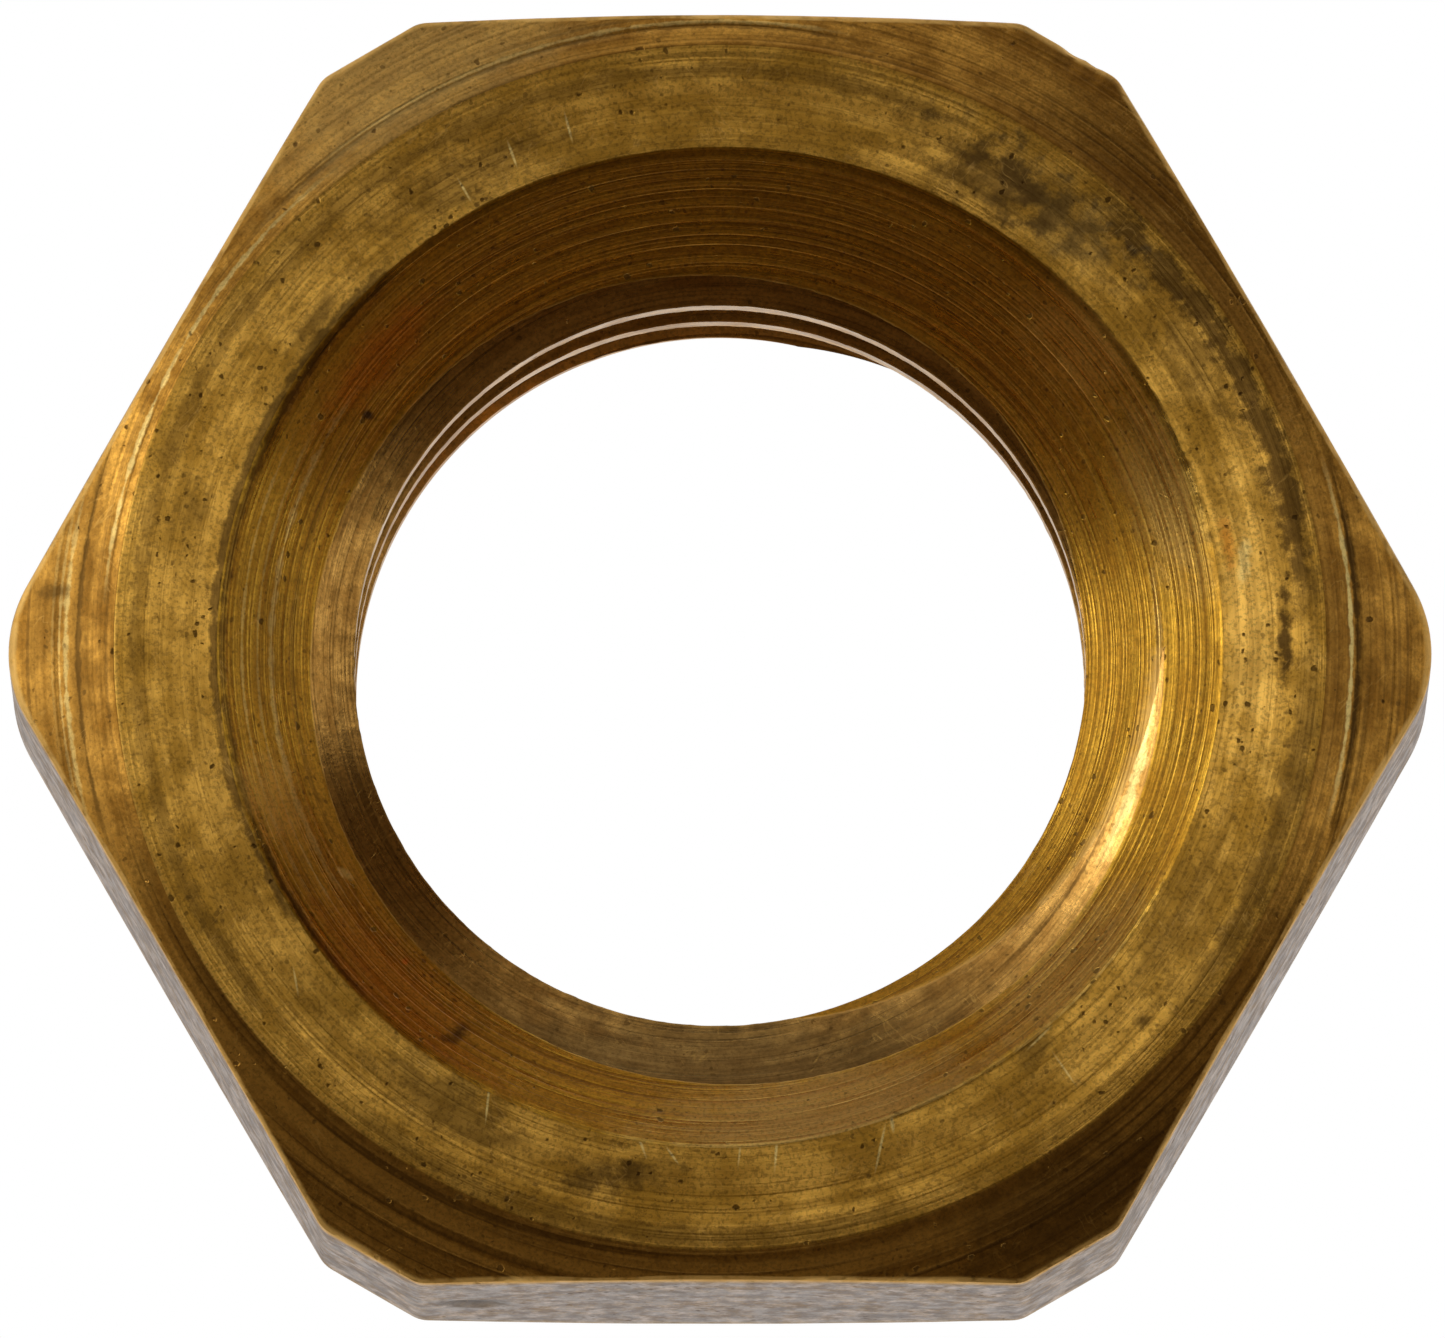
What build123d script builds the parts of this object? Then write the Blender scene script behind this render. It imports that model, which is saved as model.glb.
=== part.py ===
"""Thin brass hex nut, 7/16-14 UNC, 5/8 in across flats, 1/4 in thick, countersunk on one face."""
import os
from math import cos, radians, sin, tan

from build123d import *

# Frame: the origin is on the thread axis, in the plane of the back face. +Z points out of the
# countersunk face, and two opposite corners of the hexagon lie on the X axis. Millimetres.
INCH = 25.4

# Hexagon bar.
ACROSS_FLATS = 5 / 8 * INCH
THICKNESS = 1 / 4 * INCH
X_CORNER_RADIUS = 1.65      # the two corners on the X axis are simply rounded
WORN_CORNER_REACH = 8.765   # the other four are knocked flat at this distance from the axis
WORN_EDGE_RADIUS = 0.4      # on both edges of each flattened corner

# Turned ends.
BEARING_RADIUS = 7.15       # outer edge of the flat part of the countersunk face
CHAMFER_START_RADIUS = 7.58
FACE_DROP = 0.04            # how far the face has fallen at the start of the chamfer
CHAMFER_ANGLE = 30.0        # to the faces, on both ends
ENVELOPE_RADIUS = 9.5       # any radius outside the hexagon's corners

# Thread, right-hand.
THREADS_PER_INCH = 14
PITCH = INCH / THREADS_PER_INCH
MAJOR_RADIUS = 7 / 16 * INCH / 2
MINOR_RADIUS = 4.59
THREAD_ANGLE = 60.0
ROOT_WIDTH = PITCH / 8
GROOVE_START = 0.625        # depth of the groove's middle below the top face, in the +X direction
GROOVE_OVERLAP = 0.25       # the cutting shape starts this far inside the bore

# Countersink in the top face. The back of the hole is cut off square and has none.
COUNTERSINK_RADIUS = 6.285
COUNTERSINK_ANGLE = 90.0


def corner_points(angle):
    """Outline points of one corner of the hexagon: one, or two where it is knocked flat."""
    outward = Vector(cos(radians(angle)), sin(radians(angle)))
    along = Vector(-outward.Y, outward.X)
    apothem = ACROSS_FLATS / 2
    if angle % 180 == 0:
        return [outward * (apothem / cos(radians(30)))]
    half_width = (apothem - WORN_CORNER_REACH * cos(radians(30))) / sin(radians(30))
    middle = outward * WORN_CORNER_REACH
    return [middle - along * half_width, middle + along * half_width]


def hexagon_bar():
    """The bar before it is turned: six flats, two rounded corners and four flattened ones."""
    points = [point for step in range(6) for point in corner_points(60 * step)]
    outline = make_face(Polyline(points, close=True))
    on_x_axis = [v for v in outline.vertices() if abs(v.Y) < 0.01]
    outline = fillet(on_x_axis, X_CORNER_RADIUS)
    worn = [v for v in outline.vertices() if abs(v.Y) > ACROSS_FLATS / 4]
    return extrude(fillet(worn, WORN_EDGE_RADIUS), THICKNESS)


def turned_envelope():
    """The round shape that both ends are turned to: a face and a chamfer at each end."""
    slope = tan(radians(CHAMFER_ANGLE))
    chamfer_drop = (ENVELOPE_RADIUS - CHAMFER_START_RADIUS) * slope
    section = Polyline(
        (0, 0, 0),
        (CHAMFER_START_RADIUS, 0, 0),
        (ENVELOPE_RADIUS, 0, chamfer_drop),
        (ENVELOPE_RADIUS, 0, THICKNESS - FACE_DROP - chamfer_drop),
        (CHAMFER_START_RADIUS, 0, THICKNESS - FACE_DROP),
        (BEARING_RADIUS, 0, THICKNESS),
        (0, 0, THICKNESS),
        close=True,
    )
    return revolve(make_face(section), Axis.Z)


def thread_groove():
    """The solid swept by the tap's tooth: a trapezoid run along a right-hand helix."""
    turns = int(THICKNESS / PITCH) + 3
    bottom = THICKNESS - GROOVE_START - (turns - 1) * PITCH
    helix = Helix(PITCH, turns * PITCH, MINOR_RADIUS, center=(0, 0, bottom))
    inner = MINOR_RADIUS - GROOVE_OVERLAP
    flank = tan(radians(THREAD_ANGLE / 2))
    root_half = ROOT_WIDTH / 2
    mouth_half = root_half + (MAJOR_RADIUS - inner) * flank
    tooth = Polyline(
        (inner, 0, bottom - mouth_half),
        (MAJOR_RADIUS, 0, bottom - root_half),
        (MAJOR_RADIUS, 0, bottom + root_half),
        (inner, 0, bottom + mouth_half),
        close=True,
    )
    return sweep(make_face(tooth), path=helix, is_frenet=True)


def tapped_blank():
    """A round blank, drilled at the minor radius and tapped. It is cut to shape afterwards."""
    on_back_face = (Align.CENTER, Align.CENTER, Align.MIN)
    blank = Cylinder(ENVELOPE_RADIUS, THICKNESS, align=on_back_face)
    drilled = blank - Cylinder(MINOR_RADIUS, THICKNESS, align=on_back_face)
    return drilled - thread_groove()


def countersink():
    """The pointed cone that opens the thread at the top face."""
    depth = COUNTERSINK_RADIUS / tan(radians(COUNTERSINK_ANGLE / 2))
    under_top_face = (Align.CENTER, Align.CENTER, Align.MAX)
    return Pos(0, 0, THICKNESS) * Cone(0, COUNTERSINK_RADIUS, depth, align=under_top_face)


def nut_body():
    """The whole nut, one piece of metal."""
    return (tapped_blank() - countersink()) & hexagon_bar() & turned_envelope()


os.makedirs("parts", exist_ok=True)
export_step(nut_body(), "parts/nut_body.step")
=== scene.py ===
"""Brass hex nut, countersunk on one face: its finished surface, its finishes, and the table it lies on."""

import logging
import math
from dataclasses import dataclass, field
from enum import Enum

import bpy
import numpy as np
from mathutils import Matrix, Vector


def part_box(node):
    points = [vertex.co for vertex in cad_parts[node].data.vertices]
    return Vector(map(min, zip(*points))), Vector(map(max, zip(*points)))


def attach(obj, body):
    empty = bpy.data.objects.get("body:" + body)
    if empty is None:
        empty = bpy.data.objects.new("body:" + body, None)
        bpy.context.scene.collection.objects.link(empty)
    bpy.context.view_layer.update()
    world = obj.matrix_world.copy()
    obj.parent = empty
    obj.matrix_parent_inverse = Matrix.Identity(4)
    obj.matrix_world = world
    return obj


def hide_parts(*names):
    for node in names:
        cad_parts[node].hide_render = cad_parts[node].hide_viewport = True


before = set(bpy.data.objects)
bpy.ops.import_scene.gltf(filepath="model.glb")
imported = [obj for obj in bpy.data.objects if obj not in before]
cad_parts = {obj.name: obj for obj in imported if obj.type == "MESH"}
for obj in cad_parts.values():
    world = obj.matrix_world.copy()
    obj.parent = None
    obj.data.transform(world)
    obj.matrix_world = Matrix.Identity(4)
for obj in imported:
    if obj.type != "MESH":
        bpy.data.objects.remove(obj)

MM = 0.001
FULL_TURN = 2.0 * math.pi
# Point mask of the rubbed edges; its bright colour also paints the highlight along each edge.
EDGE_WEAR_AND_HIGHLIGHT = "edge_wear_and_highlight"

log = logging.getLogger("hex_nut")


class Region(Enum):
    """The machined surfaces of the nut. The value is the material's place on the mesh."""

    BEARING = 0
    CHAMFER = 1
    COUNTERSINK = 2
    THREAD = 3
    FLATS = 4
    BACK = 5


class SolidNoise:
    """Smooth seeded noise in space, the same on every run."""

    SIZE = 4096
    PRIMES = (73856093, 19349663, 83492791)
    OCTAVE_SHIFT = 31.7

    def __init__(self, seed: int) -> None:
        """Fills the table that the noise is read from.

        Args:
            seed: The number that the table is drawn from.
        """
        self.table = np.random.default_rng(seed).random(self.SIZE)

    def _lattice(self, i: np.ndarray, j: np.ndarray, k: np.ndarray) -> np.ndarray:
        """The table's value at each whole-numbered place."""
        mixed = (i * self.PRIMES[0]) ^ (j * self.PRIMES[1]) ^ (k * self.PRIMES[2])
        return self.table[mixed & (self.SIZE - 1)]

    def at(self, points: np.ndarray, per_mm: float, octaves: int = 1) -> np.ndarray:
        """Noise from 0 to 1 at each point.

        Args:
            points: Places in millimetres, one row each.
            per_mm: Grains in a millimetre.
            octaves: How many finer layers are added, each half as strong.

        Returns:
            One value for each point.
        """
        total = np.zeros(len(points))
        weight, whole = 1.0, 0.0
        for octave in range(octaves):
            place = points * per_mm * 2.0**octave + self.OCTAVE_SHIFT * octave
            cell = np.floor(place).astype(np.int64)
            part = place - cell
            part = part * part * (3.0 - 2.0 * part)
            value = np.zeros(len(points))
            for di in (0, 1):
                for dj in (0, 1):
                    for dk in (0, 1):
                        share = np.prod(
                            np.where((di, dj, dk), part, 1.0 - part), axis=1
                        )
                        value += share * self._lattice(
                            cell[:, 0] + di, cell[:, 1] + dj, cell[:, 2] + dk
                        )
            total += weight * value
            whole += weight
            weight *= 0.5
        return total / whole

    def along(self, place: float, per_unit: float) -> float:
        """Noise from 0 to 1 at one place on a line.

        Args:
            place: Distance along the line.
            per_unit: Grains in a unit of distance.

        Returns:
            One value.
        """
        where = place * per_unit
        cell = math.floor(where)
        part = where - cell
        part = part * part * (3.0 - 2.0 * part)
        low, high = self.table[cell % self.SIZE], self.table[(cell + 1) % self.SIZE]
        return float(low + (high - low) * part)


@dataclass(frozen=True)
class RingMark:
    """A ring that the turning tool left, as deep as a scratch. Millimetres, and degrees round from +X."""

    radius: float
    depth: float
    width: float
    start: float = 0.0
    end: float = 360.0
    fade: float = 4.0

    def depth_at(self, radius: np.ndarray, degrees: np.ndarray) -> np.ndarray:
        """How deep the ring is at each place.

        Args:
            radius: Distances from the axis.
            degrees: Directions from +X.

        Returns:
            Depths in millimetres.
        """
        across = np.exp(-(((radius - self.radius) / self.width) ** 2))
        if self.end - self.start >= 360.0:
            return self.depth * across
        middle, half = (self.start + self.end) / 2.0, (self.end - self.start) / 2.0
        off = np.abs((degrees - middle + 180.0) % 360.0 - 180.0)
        return self.depth * across * np.clip((half - off) / self.fade, 0.0, 1.0)


@dataclass(frozen=True)
class Dent:
    """A knock in the metal: where it is, how large, and how far it goes in. Millimetres."""

    centre: tuple[float, float, float]
    size: tuple[float, float, float]
    depth: float

    def depth_at(self, places: np.ndarray) -> np.ndarray:
        """How far each place is pressed in.

        Args:
            places: The points, one row each.

        Returns:
            Depths in millimetres.
        """
        off = (places - np.array(self.centre)) / np.array(self.size)
        return self.depth * np.exp(-np.sum(off**4, axis=1))


@dataclass
class HexagonBar:
    """The outline of the bar: six flats, two rounded corners on X, and four knocked flat. Millimetres."""

    apothem: float = 7.9375
    corner_radius: float = 1.65
    worn_reach: float = 8.765
    worn_radius: float = 0.4
    columns: int = 696
    closest: float = math.radians(0.17)
    least_facing: float = 0.3
    small_rounding_steps: int = 4
    crown: float = 0.055
    crown_towards: float = math.radians(90.0)
    crown_half: float = math.radians(27.0)

    def sides(self) -> list[tuple[float, float]]:
        """Each straight side in order round: the direction it faces, and its distance from the axis."""
        found = []
        for step in range(6):
            corner = math.radians(60.0 * step)
            if step % 3:
                found.append((corner, self.worn_reach))
            found.append((corner + math.radians(30.0), self.apothem))
        return found

    def roundings(self) -> list[tuple[np.ndarray, float, float, float]]:
        """Each rounding between two sides: its centre, radius, and the angles where it starts and ends."""
        sides = self.sides()
        found = []
        for here, after in zip(sides, sides[1:] + sides[:1]):
            step = (after[0] - here[0]) % FULL_TURN
            radius = self.corner_radius if step > math.radians(45.0) else self.worn_radius
            facing = np.array([[math.cos(a), math.sin(a)] for a, _ in (here, after)])
            centre = np.linalg.solve(facing, [here[1] - radius, after[1] - radius])
            ends = [centre + radius * row for row in facing]
            start, end = (math.atan2(p[1], p[0]) % FULL_TURN for p in ends)
            found.append((centre, radius, start, end))
        return found

    def reach(self, angles: np.ndarray) -> np.ndarray:
        """Distance from the axis to the outline.

        Args:
            angles: Directions from +X in radians.

        Returns:
            Distances in millimetres.
        """
        reach = np.full(angles.shape, np.inf)
        for facing, distance in self.sides():
            towards = np.cos(angles - facing)
            there = distance / np.maximum(towards, self.least_facing)
            reach = np.where(towards > self.least_facing, np.minimum(reach, there), reach)
        for centre, radius, start, end in self.roundings():
            span = (end - start) % FULL_TURN
            within = (angles - start) % FULL_TURN <= span + 1e-9
            along = centre[0] * np.cos(angles) + centre[1] * np.sin(angles)
            beside = centre[0] * np.sin(angles) - centre[1] * np.cos(angles)
            arc = along + np.sqrt(np.maximum(radius**2 - beside**2, 0.0))
            reach = np.where(within, arc, reach)
        off = (angles - self.crown_towards) / self.crown_half
        return reach + self.crown * np.maximum(1.0 - off**2, 0.0)

    def column_angles(self) -> np.ndarray:
        """The directions that the mesh has a column of points in, with one at each end of each rounding."""
        marks = []
        for _, radius, start, end in self.roundings():
            inner = self.small_rounding_steps if radius < 1.0 else 0
            span = (end - start) % FULL_TURN
            marks += [(start + span * i / (inner + 1)) % FULL_TURN for i in range(inner + 2)]
        marks = np.array(marks)
        even = np.arange(self.columns) * FULL_TURN / self.columns + 1e-4
        gap = np.abs((even[:, None] - marks[None, :] + math.pi) % FULL_TURN - math.pi)
        return np.sort(np.concatenate([even[gap.min(axis=1) > self.closest], marks]))


@dataclass
class BoreLine:
    """The outline of the hole in one column, from the countersink's edge to the back face."""

    thickness: float
    lip: float = 0.035
    least_drop: float = 0.004
    radii: list[float] = field(default_factory=list)
    depths: list[float] = field(default_factory=list)
    marks: dict[tuple[str, int], int] = field(default_factory=dict)
    regions: list[Region] = field(default_factory=list)
    ended: bool = False

    def begin(self, radius: float, depth: float) -> None:
        """Sets the first point."""
        self.radii, self.depths = [radius], [depth]
        self.marks[("edge", 0)] = 0

    def run_to(
        self,
        radius: float,
        depth: float,
        mark: tuple[str, int],
        steps: int,
        region: Region,
        lips: str = "",
    ) -> None:
        """Adds points in a straight run, which the back face may cut short.

        Args:
            radius: Where the run ends, from the axis.
            depth: Where the run ends, below the countersunk face.
            mark: The name of the point at the end, by which neighbouring columns are matched.
            steps: How many even steps the run has.
            region: The surface that the run belongs to.
            lips: "start", "end" or both, for one more point close to a sharp edge there.
        """
        if self.ended:
            return
        r0, d0 = self.radii[-1], self.depths[-1]
        if depth >= self.thickness - self.least_drop:
            share = (self.thickness - d0) / max(depth - d0, 1e-6)
            radius, depth = r0 + (radius - r0) * share, self.thickness
            mark, self.ended = ("end", 0), True
        length = max(math.hypot(radius - r0, depth - d0), 1e-6)
        lip = min(self.lip / length, 0.3 / steps)
        shares = [lip] if "start" in lips else []
        shares += [step / steps for step in range(1, steps)]
        shares += [1.0 - lip, 1.0] if "end" in lips else [1.0]
        for share in shares:
            self.radii.append(r0 + (radius - r0) * share)
            self.depths.append(d0 + (depth - d0) * share)
            self.regions.append(region)
        self.marks[mark] = len(self.radii) - 1


@dataclass
class TappedHole:
    """The countersink and the right-hand thread below it. Millimetres, depths from the countersunk face."""

    thickness: float
    countersink_radius: float = 6.285
    major_radius: float = 5.55625
    minor_radius: float = 4.59
    pitch: float = 25.4 / 14.0
    root_width: float = 25.4 / 14.0 / 8.0
    groove_start: float = 0.625
    flank: float = math.tan(math.radians(30.0))
    soft_edge: float = 0.022
    least_root: float = 0.006
    tear: float = 0.016
    most_torn: float = 0.028
    burr: float = 0.012
    untorn_end: float = 0.1
    cone_steps: int = 15
    ridge_steps: int = 4
    flank_steps: int = 3
    noise: SolidNoise = field(default_factory=lambda: SolidNoise(71))

    def edge_wear_and_highlight(self, angle: float) -> float:
        """How much more or less than usual the countersink's upper edge is worn in one direction."""
        degrees = math.degrees(angle) % 360.0
        fade = min(degrees, 360.0 - degrees, 6.0) / 6.0
        slow = self.noise.along(degrees, 0.12) - 0.5
        quick = self.noise.along(degrees + 500.0, 0.9) - 0.5
        return 1.0 + fade * (0.8 * slow + 1.3 * quick)

    def torn(self, degrees: float, lane: float) -> float:
        """How far the tap tore an edge of the thread, on average nought.

        Args:
            degrees: How far round the helix the place is.
            lane: A number that tells one edge from another.

        Returns:
            Millimetres along the axis.
        """
        slow = self.noise.along(degrees + lane, 0.11) - 0.5
        quick = self.noise.along(degrees + 2.0 * lane, 0.75) - 0.5
        spike = max(0.0, self.noise.along(degrees + 3.0 * lane, 1.1) - 0.78) * 4.0
        torn = self.tear * (0.4 * slow + 0.5 * quick + 0.5 * spike - 0.1)
        return min(max(torn, -self.most_torn), self.most_torn)

    def line(self, angle: float) -> BoreLine:
        """The hole's outline in one direction from the axis.

        Args:
            angle: The direction from +X in radians.

        Returns:
            Its points, marks and surfaces.
        """
        line = BoreLine(self.thickness)
        edge = self.countersink_radius
        rise = self.major_radius - self.minor_radius
        cone_end = edge - self.minor_radius
        soft = self.soft_edge * self.edge_wear_and_highlight(angle)
        line.begin(edge - soft, soft)
        on_cone, steps = True, self.cone_steps
        for turn in range(0, int(self.thickness / self.pitch) + 3):
            round_helix = 360.0 * turn - math.degrees(angle)
            centre = self.groove_start + self.pitch * round_helix / 360.0
            upper = centre - self.root_width / 2.0
            lower = centre + self.root_width / 2.0
            if lower <= edge - self.major_radius + self.least_root:
                continue
            mouth_top, mouth_bottom = upper - rise * self.flank, lower + rise * self.flank
            if edge - mouth_top <= self.minor_radius:
                if on_cone:
                    mark = ("corner", 0)
                    line.run_to(self.minor_radius, cone_end, mark, steps, Region.COUNTERSINK)
                line.run_to(self.minor_radius, mouth_top, ("in", turn), 1, Region.THREAD, "start end")
                line.run_to(self.major_radius, upper, ("root top", turn), 2, Region.THREAD, "start")
            elif edge - upper < self.major_radius:
                depth = edge - self.major_radius + upper / self.flank
                depth /= 1.0 + 1.0 / self.flank
                line.run_to(edge - depth, depth, ("in", turn), steps, Region.COUNTERSINK, "end")
                line.run_to(self.major_radius, upper, ("root top", turn), 2, Region.THREAD, "start")
            else:
                depth = edge - self.major_radius
                line.run_to(edge - depth, depth, ("in", turn), steps, Region.COUNTERSINK, "end")
            line.run_to(self.major_radius, lower, ("root bottom", turn), 1, Region.THREAD)
            on_cone, steps = edge - mouth_bottom > self.minor_radius, self.ridge_steps
            if on_cone:
                depth = edge - self.major_radius - lower / self.flank
                depth /= 1.0 - 1.0 / self.flank
                radius = edge - depth
            else:
                radius, depth = self.minor_radius, mouth_bottom
            line.run_to(radius, depth, ("out", turn), self.flank_steps, Region.THREAD, "end")
        line.run_to(self.minor_radius, self.thickness, ("end", 0), 1, Region.THREAD, "start")
        self.tear_edges(line, angle)
        return line

    def tear_edges(self, line: BoreLine, angle: float) -> None:
        """Makes the thread's sharp edges ragged, with a small burr here and there.

        Args:
            line: The outline of one column.
            angle: The column's direction from +X in radians.
        """
        for (name, turn), i in line.marks.items():
            if name not in ("in", "out") or line.depths[i] > self.thickness - self.untorn_end:
                continue
            lane = 900.0 if name == "in" else 1700.0
            round_helix = 360.0 * turn - math.degrees(angle)
            shift = self.torn(round_helix, lane)
            burr = max(0.0, self.noise.along(round_helix + 4.0 * lane, 0.9) - 0.55) * self.burr
            on_cone = line.radii[i] > self.minor_radius + 0.02
            line.depths[i] += shift
            line.radii[i] -= (shift if on_cone else 0.0) + burr


@dataclass
class NutBody:
    """The nut's metal surface: one closed mesh of columns round the axis. Millimetres."""

    EDGE_MARKS = ("in", "out")
    GROOVE_MARKS = ("in", "out", "root top", "root bottom")

    thickness: float
    bearing_radius: float = 7.15
    chamfer_start: float = 7.58
    face_drop: float = 0.04
    chamfer_slope: float = math.tan(math.radians(30.0))
    worn_edge: float = 0.06
    face_soft_edge: float = 0.03
    face_rings: float = 0.009
    face_dents: float = 0.02
    cone_rings: float = 0.006
    thread_grain: float = 0.007
    flat_waves: float = 0.006
    sharp_edge: float = math.radians(31.0)
    bearing_rows: int = 20
    slope_rows: int = 9
    chamfer_rows: int = 24
    wall_rows: int = 18
    back_rows: int = 6
    marks: tuple[RingMark, ...] = (
        RingMark(7.95, 0.03, 0.05, -19.0, 19.0),
        RingMark(8.25, 0.008, 0.05, 160.0, 200.0),
        RingMark(8.02, 0.01, 0.05, 155.0, 205.0),
        RingMark(7.84, 0.016, 0.045, 78.0, 140.0),
        RingMark(6.95, 0.004, 0.03),
        RingMark(7.14, 0.006, 0.035, 150.0, 330.0),
        RingMark(7.31, 0.006, 0.03, 20.0, 300.0),
        RingMark(7.50, 0.005, 0.03),
    )
    dents: tuple[Dent, ...] = (
        Dent((-3.08, -7.94, 3.0), (0.32, 0.5, 0.3), 0.07),
        Dent((4.42, 7.48, 5.8), (0.12, 0.16, 0.25), 0.05),
        Dent((4.68, 7.33, 5.8), (0.1, 0.14, 0.25), 0.035),
        Dent((-8.0, -3.0, 5.9), (0.2, 0.2, 0.3), 0.03),
    )
    noise: SolidNoise = field(default_factory=lambda: SolidNoise(19))

    def __post_init__(self) -> None:
        """Makes the bar's outline and the hole."""
        self.bar = HexagonBar()
        self.hole = TappedHole(self.thickness)

    def outer_rows(
        self, reach: float, bore: float, wear: float, hole_wear: float
    ) -> list[tuple[float, float, Region, float]]:
        """The outline of one column from the hole's back edge, out, up and in to the countersink.

        Args:
            reach: Distance from the axis to the hexagon's outline.
            bore: Radius of the hole at the back face.
            wear: Width of the worn edge of the flat.
            hole_wear: How worn the countersink's upper edge is, 1 as usual.

        Returns:
            (radius, height, region of the run that ends there, edge wear and painted edge highlight) for
            each point.
        """
        low = (reach - self.chamfer_start) * self.chamfer_slope
        high = self.thickness - self.face_drop - low
        rows = [(bore, 0.0, Region.BACK, 0.5)]
        for i in range(1, self.back_rows + 1):
            rows.append((bore + (self.chamfer_start - bore) * i / self.back_rows, 0.0, Region.BACK, 0.0))
        inner = reach - wear
        for share in (0.5, 1.0):
            radius = self.chamfer_start + (inner - self.chamfer_start) * share
            height = (radius - self.chamfer_start) * self.chamfer_slope
            rows.append((radius, height, Region.BACK, 0.4 * share))
        rows.append((reach - 0.25 * wear, low + 0.15 * wear, Region.BACK, 1.0))
        bottom, top = low + wear, high - wear
        rows.append((reach, bottom, Region.FLATS, 0.6))
        for i in range(1, self.wall_rows + 1):
            share = i / self.wall_rows
            share += 0.06 * math.sin(FULL_TURN * share)
            at_top = 0.7 if i == self.wall_rows else 0.0
            rows.append((reach, bottom + (top - bottom) * share, Region.FLATS, at_top))
        rows.append((reach - 0.25 * wear, high - 0.15 * wear, Region.FLATS, 1.0))
        for i in range(self.chamfer_rows + 1):
            radius = inner + (self.chamfer_start - inner) * i / self.chamfer_rows
            height = self.thickness - self.face_drop
            height -= (radius - self.chamfer_start) * self.chamfer_slope
            rows.append((radius, height, Region.CHAMFER, 1.0 if i == 0 else 0.0))
        for i in range(1, self.slope_rows + 1):
            share = i / self.slope_rows
            radius = self.chamfer_start + (self.bearing_radius - self.chamfer_start) * share
            height = self.thickness - self.face_drop * (1.0 - share) ** 2
            rows.append((radius, height, Region.BEARING, 0.0))
        edge = self.hole.countersink_radius
        last = edge + self.face_soft_edge * hole_wear
        for i in range(1, self.bearing_rows + 1):
            radius = self.bearing_radius + (last - self.bearing_radius) * i / self.bearing_rows
            rows.append((radius, self.thickness, Region.BEARING, 0.0))
        soft = 0.3 * self.hole.soft_edge * hole_wear
        rows.append((edge + soft, self.thickness - soft, Region.BEARING, 0.0))
        return rows

    def stitch(
        self, here: tuple[BoreLine, list[int]], there: tuple[BoreLine, list[int]], shift: int
    ) -> tuple[list[tuple[int, ...]], list[Region]]:
        """Faces between the hole's outlines in two neighbouring columns.

        Args:
            here: (outline, its point numbers) of the first column.
            there: The same for the column after it.
            shift: How many turns the second column's grooves are renumbered by.

        Returns:
            The faces, and the region of each.
        """
        line_a, points_a = here
        line_b, points_b = there
        renamed = {
            (name, turn + shift if name in self.GROOVE_MARKS else turn): i
            for (name, turn), i in line_b.marks.items()
        }
        shared = sorted((i, renamed[mark]) for mark, i in line_a.marks.items() if mark in renamed)
        faces, regions = [], []
        for (a0, b0), (a1, b1) in zip(shared, shared[1:]):
            if a1 <= a0 or b1 <= b0:
                continue
            if a1 - a0 == b1 - b0:
                for i in range(a1 - a0):
                    faces.append(
                        (points_a[a0 + i], points_b[b0 + i], points_b[b0 + i + 1], points_a[a0 + i + 1])
                    )
                    regions.append(line_a.regions[a0 + i])
                continue
            i, k = a0, b0
            depth_a = np.array(line_a.depths[a0 : a1 + 1])
            depth_b = np.array(line_b.depths[b0 : b1 + 1])
            while i < a1 or k < b1:
                step_a = k >= b1 or (i < a1 and depth_a[i - a0 + 1] <= depth_b[k - b0 + 1])
                if step_a:
                    faces.append((points_a[i], points_b[k], points_a[i + 1]))
                    regions.append(line_a.regions[i])
                    i += 1
                else:
                    faces.append((points_a[i], points_b[k], points_b[k + 1]))
                    regions.append(line_b.regions[k])
                    k += 1
        return faces, regions

    def texture_points(self, places: np.ndarray, regions: np.ndarray) -> np.ndarray:
        """Presses the tool's rings and the dents into the surface.

        Args:
            places: The points, one row each.
            regions: The region number of each point.

        Returns:
            The points after that.
        """
        moved = places.copy()
        knocks = sum(dent.depth_at(places) for dent in self.dents)
        top = (regions == Region.BEARING.value) | (regions == Region.CHAMFER.value)
        self.sink_face(places, moved, top, knocks)
        self.sink_cone(places, moved, regions == Region.COUNTERSINK.value)
        self.roughen_thread(places, moved, regions == Region.THREAD.value)
        self.wave_flats(places, moved, regions == Region.FLATS.value, knocks)
        return moved

    @staticmethod
    def round_and_out(places: np.ndarray) -> np.ndarray:
        """Where rings are read from the noise: slowly round the nut, and quickly out from its axis."""
        angle = np.arctan2(places[:, 1], places[:, 0])
        radius = np.hypot(places[:, 0], places[:, 1])
        return np.column_stack([np.cos(angle) * 1.5, np.sin(angle) * 1.5, radius * 9.0])

    def sink_face(
        self, places: np.ndarray, moved: np.ndarray, top: np.ndarray, knocks: np.ndarray
    ) -> None:
        """Presses rings and dents into the bearing face and the upper chamfer.

        Args:
            places: The points before any move.
            moved: The points to move.
            top: Which points those are.
            knocks: How deep the dents are at each point.
        """
        radius = np.hypot(places[:, 0], places[:, 1])
        degrees = np.degrees(np.arctan2(places[:, 1], places[:, 0]))
        rings = self.face_rings * self.noise.at(self.round_and_out(places), 1.0, 2)
        for mark in self.marks:
            rings = rings + mark.depth_at(radius, degrees)
        dents = self.face_dents * np.clip(self.noise.at(places, 1.6, 2) - 0.6, 0.0, 1.0)
        fade = np.clip((radius - self.hole.countersink_radius - 0.02) / 0.06, 0.0, 1.0)
        moved[top, 2] -= (fade * (rings + dents))[top]
        moved[top, 2] -= 0.5 * knocks[top]

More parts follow.
